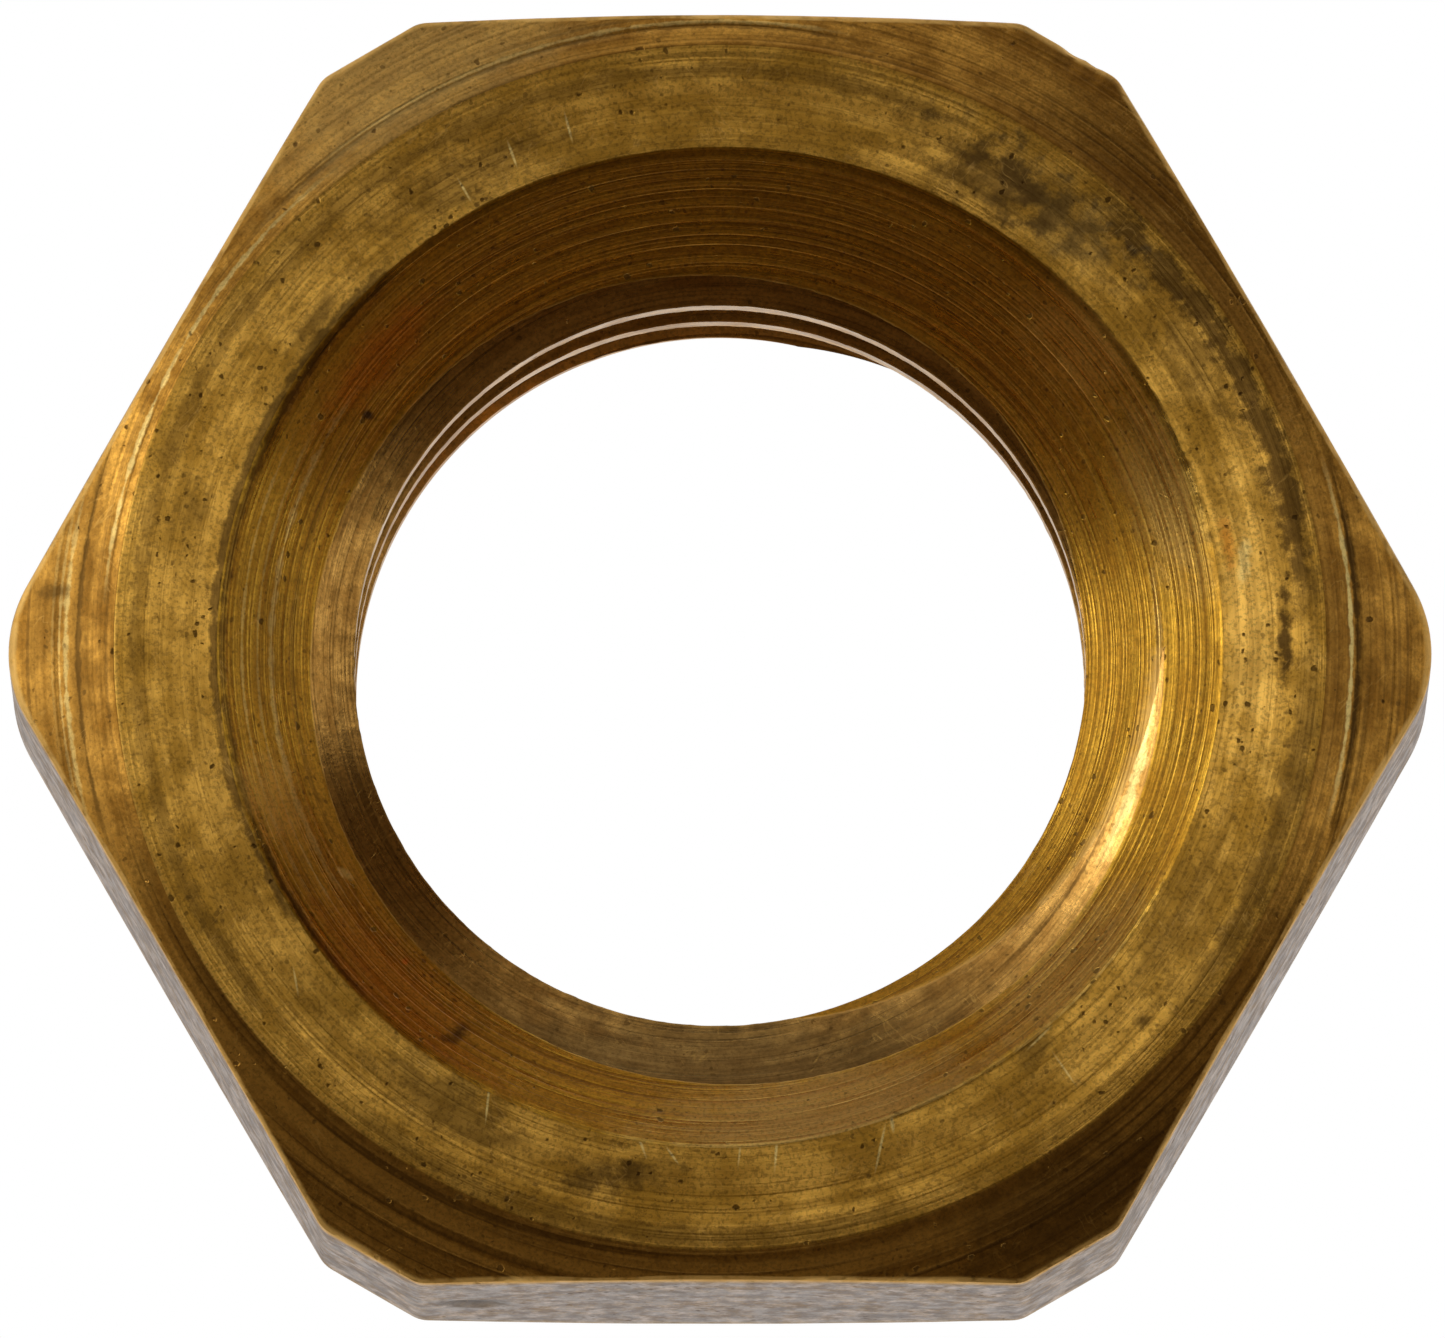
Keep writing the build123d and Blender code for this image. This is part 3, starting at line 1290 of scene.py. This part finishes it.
        # Rubbed edges in the bright colour, which also paints the highlight along them.
        edge = self.worn(g, masks.spot)
        colour = g.mix(edge, colour, self.bare_metal_and_highlight_colour)
        tarnish, ridges = masks.browning.outputs["Mask"], masks.rings.outputs["Height"]
        rough = g.math("MULTIPLY_ADD", tarnish, self.ROUGH_TARNISH, self.roughness - self.SMOOTHER)
        for mask, amount in (
            (ridges, self.ROUGH_RINGS),
            (masks.specks, self.ROUGH_SPECKS),
            (edge, self.ROUGH_WEAR),
        ):
            rough = g.math("MULTIPLY_ADD", mask, amount, rough)
        height = g.math("MULTIPLY", ridges, self.ring_depth)
        for mask, amount in (
            (grain, self.GRAIN_HEIGHT),
            (masks.specks, self.SPECK_HEIGHT),
            (masks.scratches, self.SCRATCH_HEIGHT),
        ):
            height = g.math("MULTIPLY_ADD", mask, amount, height)
        bump = g.add("Bump", {"Strength": 1.0, "Distance": self.BUMP_MM * MM, "Height": height})
        tangent = g.add("Tangent", direction_type="RADIAL", axis="Z")
        # Less metallic on the edges, so that the painted edge highlight is lit from every side.
        bare = g.math("MULTIPLY_ADD", edge, -self.WEAR_DULLS, 1.0)
        shader = g.add(
            "BsdfPrincipled",
            {
                "Base Color": colour,
                "Metallic": g.math("SUBTRACT", bare, pit_shade),
                "Roughness": rough,
                "Anisotropic": self.anisotropic,
                "Anisotropic Rotation": 0.25,
                "Tangent": tangent.outputs[0],
                "Normal": bump.outputs[0],
            },
        )
        g.finish(shader)
        return material


@dataclass(frozen=True)
class NutFinishes:
    """The finish of each machined surface."""

    bearing: BrassFinish = BrassFinish(
        "brass_bearing_face",
        bright=(0.85, 0.475, 0.082),
        brown=(0.58, 0.305, 0.038),
        grain=0.42,
        ring_contrast=0.22,
        mottle=0.24,
        drawn_out=0.35,
        speck_scale=9.0,
        speck_share=0.4,
        scratch_share=0.25,
        # The dark ragged line along the countersink edge at the left is partly a dark edge and partly
        # painted shade, and the gold line at the lower left, along the chamfer, is a painted highlight. The
        # other dark bands darken the slope to the chamfer, and faintly the face at the left.
        bands=(
            Band(7.34, 0.22, 0.85, Tint.DARK, 27.0, 25.0),
            Band(7.34, 0.2, 0.55, Tint.DARK, -20.0, 20.0),
            Band(7.42, 0.14, 0.35, Tint.DARK, -100.0, 30.0),
            Band(7.27, 0.13, 0.4, Tint.DARK, 105.0, 40.0),
            Band(7.3, 0.12, 0.35, Tint.DARK, 180.0, 40.0),
            Band(6.8, 0.5, 0.16, Tint.DARK, 196.0, 32.0),
            Band(6.33, 0.07, 0.75, Tint.DARK, 172.0, 42.0),
            Band(7.57, 0.04, 0.35, Tint.GOLD, 205.0, 32.0),
        ),
        # The gold patches at the right and the small glint among them are painted highlights.
        stains_and_painted_light=(
            bearing_stain_and_light(6.64, 0.2, 0.42, 2.1, 4.0, 0.65, Tint.GOLD),
            bearing_stain_and_light(7.38, -0.1, 0.16, 0.5, 0.0, 0.3, Tint.GOLD),
            bearing_stain_and_light(6.35, 1.3, 0.12, 0.35, 10.0, 0.45, Tint.ORANGE),
            bearing_stain_and_light(6.55, 1.1, 0.1, 0.3, 0.0, 0.5, Tint.GLINT),
            bearing_stain_and_light(4.2, 5.5, 1.7, 0.55, -42.0, 0.45, Tint.COLD),
            bearing_stain_and_light(4.0, 5.7, 1.1, 0.36, -38.0, 0.38, Tint.COLD, 6.0),
            bearing_stain_and_light(3.4, 5.85, 0.8, 0.55, -30.0, 0.45),
            bearing_stain_and_light(5.8, -3.3, 1.3, 0.5, 60.0, 0.3),
            bearing_stain_and_light(5.3, -4.7, 0.16, 0.12, 0.0, 0.8, Tint.DARK, 2.0),
            bearing_stain_and_light(4.5, -4.3, 0.14, 0.12, 0.0, 0.8, Tint.DARK, 2.0),
            bearing_stain_and_light(3.9, -5.1, 0.25, 0.35, 0.0, 0.5, Tint.DARK, 3.0),
            bearing_stain_and_light(3.3, 5.95, 1.3, 0.5, -30.0, 0.5),
            bearing_stain_and_light(5.9, 3.6, 1.1, 0.4, -58.0, 0.5),
            bearing_stain_and_light(-3.2, 5.9, 1.5, 0.4, 28.0, 0.45),
            bearing_stain_and_light(-1.25, -6.66, 0.9, 0.25, 10.0, 0.75),
            bearing_stain_and_light(-3.3, -5.8, 1.4, 0.5, -30.0, 0.5),
            bearing_stain_and_light(-5.1, 4.1, 0.8, 0.16, 52.0, 0.6),
            bearing_stain_and_light(-6.6, 1.83, 0.25, 0.35, 0.0, 0.4),
            bearing_stain_and_light(7.06, 0.2, 0.1, 0.9, 0.0, 0.9, Tint.DARK, 5.0),
            scratch(-1.0, -6.2, 0.022, 0.26, 20.0, 0.9),
            scratch(-0.6, -6.38, 0.02, 0.16, 35.0, 0.8),
            scratch(0.25, -6.3, 0.018, 0.28, -6.0, 0.7),
            scratch(0.7, -6.33, 0.022, 0.3, -4.0, 0.9),
            scratch(2.0, -6.3, 0.022, 0.34, -12.0, 0.9),
            scratch(2.15, -5.98, 0.03, 0.14, 8.0, 0.8),
            scratch(-2.9, -5.7, 0.02, 0.3, -6.0, 0.8),
            scratch(-5.3, -4.2, 0.018, 0.22, 10.0, 0.6),
            scratch(-2.6, 6.2, 0.022, 0.2, 20.0, 0.7),
            scratch(-1.9, 6.55, 0.022, 0.22, 15.0, 0.7),
            scratch(-3.2, 5.75, 0.02, 0.2, 30.0, 0.6),
            scratch(4.3, -5.3, 0.018, 0.3, 35.0, 0.6),
            scratch(4.0, -4.9, 0.02, 0.25, -45.0, 0.6),
        ),
    )
    chamfer: BrassFinish = BrassFinish(
        "brass_chamfer",
        bright=(0.76, 0.39, 0.065),
        brown=(0.42, 0.19, 0.025),
        ring_contrast=0.45,
        roughness=0.32,
        anisotropic=0.6,
        ring_fineness=7.0,
        ring_depth=0.5,
        drawn_out=0.4,
        speck_share=0.25,
        # Painted highlights and painted shade: bright and dark lines beside the tool rings at the right, at
        # the left and along the top.
        bands=(
            Band(7.9, 0.03, 0.9, Tint.GLINT, 1.0, 17.0),
            Band(7.98, 0.045, 0.9, Tint.DARK, 1.0, 19.0),
            Band(8.19, 0.035, 0.5, Tint.GLINT, 181.0, 17.0),
            Band(8.27, 0.02, 0.4, Tint.GLINT, 180.0, 15.0),
            Band(8.36, 0.02, 0.35, Tint.GLINT, 178.0, 12.0),
            Band(7.68, 0.02, 0.4, Tint.DARK, 176.0, 24.0),
            Band(8.03, 0.035, 0.7, Tint.DARK, 180.0, 20.0),
            Band(7.72, 0.03, 0.5, Tint.GLINT, 152.0, 24.0),
            Band(7.84, 0.03, 0.5, Tint.DARK, 106.0, 30.0),
            Band(7.9, 0.03, 0.4, Tint.GLINT, 104.0, 26.0),
        ),
        # The pale patch at the upper left is painted sheen, and the broad dark patch at the lower right is
        # painted shade. The chamfer is also darker at the right and left corners.
        stains_and_painted_light=(
            StainAndPaintedLight((-3.9, 7.3, 6.0), (3.2, 1.5, 3.0), 30.0, 0.4, Tint.PALE, 0.8),
            StainAndPaintedLight((7.3, 0.0, 6.0), (2.0, 2.4, 3.0), 0.0, 0.3, Tint.DARK, 1.5),
            StainAndPaintedLight((-8.2, 0.2, 6.0), (1.1, 3.0, 3.0), 0.0, 0.34, Tint.DARK, 1.2),
            StainAndPaintedLight((-8.3, 0.75, 6.0), (0.3, 0.1, 3.0), 0.0, 0.6, Tint.DARK, 3.0),
            StainAndPaintedLight((4.6, -6.9, 6.0), (2.4, 1.0, 3.0), 30.0, 0.5, Tint.DARK, 1.5),
        ),
    )
    countersink: BrassFinish = BrassFinish(
        "brass_countersink",
        bright=(0.84, 0.48, 0.052),
        brown=(0.62, 0.31, 0.028),
        anisotropic=0.5,
        roughness=0.28,
        drawn_out=0.6,
        ring_depth=0.38,
        ring_contrast=0.35,
        speck_share=0.3,
        # A dark ragged line along the upper edge at the left, partly painted shade; painted highlights and a
        # painted dark line along the tool rings at the left; and a painted highlight at the right, where the
        # bright crescent on the thread runs up onto the cone.
        bands=(
            Band(6.22, 0.05, 0.7, Tint.DARK, 178.0, 48.0),
            Band(5.98, 0.02, 0.35, Tint.GLINT, 182.0, 30.0),
            Band(5.79, 0.02, 0.3, Tint.GLINT, 185.0, 34.0),
            Band(5.62, 0.04, 0.4, Tint.GLINT, 178.0, 36.0),
            Band(5.35, 0.03, 0.4, Tint.DARK, 178.0, 30.0),
            Band(5.5, 0.045, 0.95, Tint.GLINT, 3.0, 9.0),
        ),
        # The pale patches along the front and at the right are painted sheen, and the gold patches at the
        # lower left and the upper right are painted highlights.
        stains_and_painted_light=(
            StainAndPaintedLight((1.2, -5.9, 5.9), (3.2, 1.0, 3.0), 10.0, 0.65, Tint.PALE, 1.0),
            StainAndPaintedLight((4.3, -4.1, 5.9), (1.8, 0.8, 3.0), 45.0, 0.4, Tint.PALE, 1.0),
            StainAndPaintedLight((5.6, 1.9, 5.9), (0.6, 1.6, 3.0), 20.0, 0.4, Tint.PALE, 1.0),
            StainAndPaintedLight((-5.7, 0.3, 5.9), (0.7, 1.6, 3.0), 0.0, 0.3, Tint.DARK, 1.6),
            StainAndPaintedLight((-5.6, -1.9, 5.9), (0.5, 0.9, 3.0), 18.0, 0.5, Tint.GOLD, 1.6),
            StainAndPaintedLight((4.6, 3.9, 5.9), (1.2, 0.8, 3.0), -50.0, 0.6, Tint.GOLD, 1.2),
            StainAndPaintedLight((-4.3, 3.7, 5.7), (1.3, 0.35, 3.0), 49.0, 0.5, Tint.ORANGE, 1.4),
            StainAndPaintedLight((-4.0, -4.4, 5.9), (2.0, 0.6, 3.0), -48.0, 0.35, Tint.ORANGE, 1.4),
            StainAndPaintedLight((-3.29, -4.82, 5.8), (0.24, 0.15, 2.0), 20.0, 0.8),
            StainAndPaintedLight((-4.41, 3.02, 5.6), (0.08, 0.07, 2.0), 0.0, 1.0, Tint.DARK, 0.8),
            StainAndPaintedLight((-4.65, 0.31, 5.6), (0.06, 0.05, 2.0), 0.0, 1.0, Tint.DARK, 0.8),
            StainAndPaintedLight((-3.94, -3.88, 5.7), (0.05, 0.05, 2.0), 0.0, 1.0, Tint.ORANGE, 0.8),
            StainAndPaintedLight((-4.69, -2.77, 5.7), (0.07, 0.14, 2.0), 50.0, 1.0, Tint.GLINT, 0.8),
        ),
    )
    thread: BrassFinish = BrassFinish(
        "brass_thread",
        bright=(0.88, 0.49, 0.12),
        brown=(0.58, 0.29, 0.06),
        anisotropic=0.35,
        roughness=0.24,
        ring_depth=0.15,
        rubbed_and_lit_amount=0.8,
        # A painted highlight: the bright crescent at the lower right, with a painted dark line beside it.
        bands=(
            Band(5.42, 0.07, 0.7, Tint.GLINT, -13.0, 17.0),
            Band(5.28, 0.03, 0.6, Tint.DARK, -26.0, 24.0),
        ),
        stains_and_painted_light=(
            StainAndPaintedLight((-0.6, -5.3, 5.2), (6.2, 1.6, 3.0), 0.0, 0.64, Tint.COLD, 0.8),
            StainAndPaintedLight((2.4, -4.6, 5.2), (1.8, 0.7, 3.0), 28.0, 0.45, Tint.DARK, 0.8),
        ),
    )
    flats: BrassFinish = BrassFinish(
        "brass_wrench_flats",
        bright=(0.85, 0.48, 0.1),
        brown=(0.68, 0.37, 0.065),
        anisotropic=0.0,
        roughness=0.4,
        ring_depth=0.1,
        ring_contrast=0.1,
        tarnish_scale=3.4,
        drawn_out=0.0,
        along_bar=0.55,
        mottle=0.22,
        speck_share=0.25,
        film_and_sheen=FilmAndSheen(),
        stains_and_painted_light=(
            # Painted shadow in the dent on this flat: grey round it, and black and less metallic inside.
            StainAndPaintedLight((-3.08, -7.9, 3.0), (0.6, 1.0, 0.75), 0.0, 0.5, Tint.COLD, 1.2),
            StainAndPaintedLight((-3.08, -7.9, 3.0), (0.5, 1.0, 0.6), 0.0, 1.0, Tint.DARK, 0.3, 1.0),
            StainAndPaintedLight((1.6, -7.9, 2.4), (1.3, 1.0, 0.3), 0.0, 0.3, Tint.COLD, 2.6),
            StainAndPaintedLight((-0.8, -7.9, 4.6), (1.0, 1.0, 0.25), 0.0, 0.3, Tint.COLD, 2.6),
            StainAndPaintedLight((5.0, -7.2, 3.6), (0.7, 1.0, 0.3), 0.0, 0.35, Tint.COLD, 2.6),
        ),
    )
    back: BrassFinish = BrassFinish(
        "brass_back_face", bright=(0.86, 0.47, 0.085), brown=(0.56, 0.29, 0.04), ring_fineness=8.0
    )

    def by_region(self) -> dict[Region, BrassFinish]:
        """The finish for each region."""
        return {
            Region.BEARING: self.bearing,
            Region.CHAMFER: self.chamfer,
            Region.COUNTERSINK: self.countersink,
            Region.THREAD: self.thread,
            Region.FLATS: self.flats,
            Region.BACK: self.back,
        }

    def dress(self, nut: bpy.types.Object) -> None:
        """Gives the nut its materials, one for each region in order.

        Args:
            nut: The nut's object.
        """
        effects = SurfaceEffects()
        finishes = self.by_region()
        for region in Region:
            nut.data.materials.append(finishes[region].build(effects))


@dataclass(frozen=True)
class Softbox:
    """A soft studio light aimed at the nut. Degrees round from +X and above the table, and metres."""

    name: str
    azimuth: float
    elevation: float
    distance: float
    size: tuple[float, float]
    brightness: float
    colour: Colour = (1.0, 1.0, 1.0)

    def place(self, target: tuple[float, float, float]) -> None:
        """Puts the light in the scene.

        Args:
            target: The point that it faces.
        """
        light = bpy.data.lights.new(self.name, "AREA")
        light.shape = "RECTANGLE"
        light.size, light.size_y = self.size
        light.energy = self.brightness * math.pi * self.size[0] * self.size[1]
        light.color = self.colour
        lamp = bpy.data.objects.new(self.name, light)
        round_, up = math.radians(self.azimuth), math.radians(self.elevation)
        away = (math.cos(up) * math.cos(round_), math.cos(up) * math.sin(round_), math.sin(up))
        lamp.location = [t + self.distance * a for t, a in zip(target, away)]
        lamp.rotation_euler = (math.pi / 2.0 - up, 0.0, round_ + math.pi / 2.0)
        bpy.context.scene.collection.objects.link(lamp)


@dataclass
class Studio:
    """The pale lit table, the soft lights and the camera."""

    nut_top: float
    floor_size: float = 2.0
    floor_gap: float = 0.00002
    floor_glow: float = 1.0
    floor_bounce: float = 0.8
    backdrop: float = 1.0
    surround: float = 0.055
    surround_colour: Colour = (1.0, 0.66, 0.4)
    elevation: float = 84.0
    distance: float = 0.66
    aim_x: float = 0.000031
    aim_y: float = -0.000279
    sensor: float = 36.0
    lens: float = 1315.4
    clip: tuple[float, float] = (0.02, 20.0)
    lights: tuple[Softbox, ...] = (
        Softbox("key_left", 166.0, 25.0, 0.16, (0.11, 0.08), 2.85),
        Softbox("fill_right", 4.0, 22.0, 0.2, (0.12, 0.11), 0.85),
        Softbox("fill_back", 88.0, 20.0, 0.24, (0.2, 0.1), 0.7),
        Softbox("fill_corner", 128.0, 24.0, 0.24, (0.1, 0.08), 1.1),
        Softbox("overhead", 90.0, 83.0, 0.25, (0.19, 0.05), 1.6),
    )

    def floor(self) -> bpy.types.Object:
        """The table: white and lit, and clear when looked at from below."""
        mesh = bpy.data.meshes.new("table_top")
        half = self.floor_size / 2.0
        corners = [(-half, -half), (half, -half), (half, half), (-half, half)]
        mesh.from_pydata([(x, y, -self.floor_gap) for x, y in corners], [], [(0, 1, 2, 3)])
        material = bpy.data.materials.new("table_white")
        g = Graph.fresh(material)
        seen = g.add("LightPath").outputs["Is Camera Ray"]
        strength = g.math("MULTIPLY_ADD", seen, self.floor_glow - self.floor_bounce, self.floor_bounce)
        glow = g.add("Emission", {"Color": (1.0, 1.0, 1.0, 1.0), "Strength": strength})
        clear = g.add("BsdfTransparent")
        side = g.add("NewGeometry").outputs["Backfacing"]
        both = g.add("MixShader", {0: side, 1: glow.outputs[0], 2: clear.outputs[0]})
        g.finish(both)
        mesh.materials.append(material)
        table = bpy.data.objects.new("table_top", mesh)
        bpy.context.scene.collection.objects.link(table)
        return table

    def world(self) -> None:
        """A white backdrop that lights the nut only dimly."""
        world = bpy.data.worlds.new("studio")
        g = Graph.fresh(world)
        seen = g.add("LightPath").outputs["Is Camera Ray"]
        strength = g.math("MULTIPLY_ADD", seen, self.backdrop - self.surround, self.surround)
        colour = g.mix(seen, self.surround_colour, (1.0, 1.0, 1.0))
        g.finish(g.add("Background", {"Color": colour, "Strength": strength}), "OutputWorld")
        bpy.context.scene.world = world

    def camera(self) -> None:
        """The camera, high over the countersunk face and a little to the front."""
        data = bpy.data.cameras.new("camera")
        data.sensor_width = self.sensor
        data.lens = self.lens
        data.clip_start, data.clip_end = self.clip
        camera = bpy.data.objects.new("camera", data)
        up = math.radians(self.elevation)
        camera.location = (
            self.aim_x,
            self.aim_y - self.distance * math.cos(up),
            self.nut_top + self.distance * math.sin(up),
        )
        camera.rotation_euler = (math.pi / 2.0 - up, 0.0, 0.0)
        bpy.context.scene.collection.objects.link(camera)
        bpy.context.scene.camera = camera

    def build(self) -> None:
        """Sets everything up round the nut."""
        self.floor()
        self.world()
        for light in self.lights:
            light.place((0.0, 0.0, self.nut_top / 2.0))
        self.camera()
        bpy.context.scene.view_settings.view_transform = "Standard"
        log.info("studio: table, %d lights, camera", len(self.lights))


def main() -> None:
    """Builds the nut's surface over its CAD node, dresses it, and sets up the studio."""
    logging.basicConfig(level=logging.INFO, format="%(name)s: %(message)s")
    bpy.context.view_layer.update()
    low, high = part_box("nut_body")
    thickness = (high[2] - low[2]) / MM
    nut = NutBody(thickness).build()
    NutFinishes().dress(nut)
    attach(nut, "root")
    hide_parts("nut_body")
    Studio(nut_top=high[2]).build()
    log.info("sizes written")


if __name__ == "__main__":
    main()
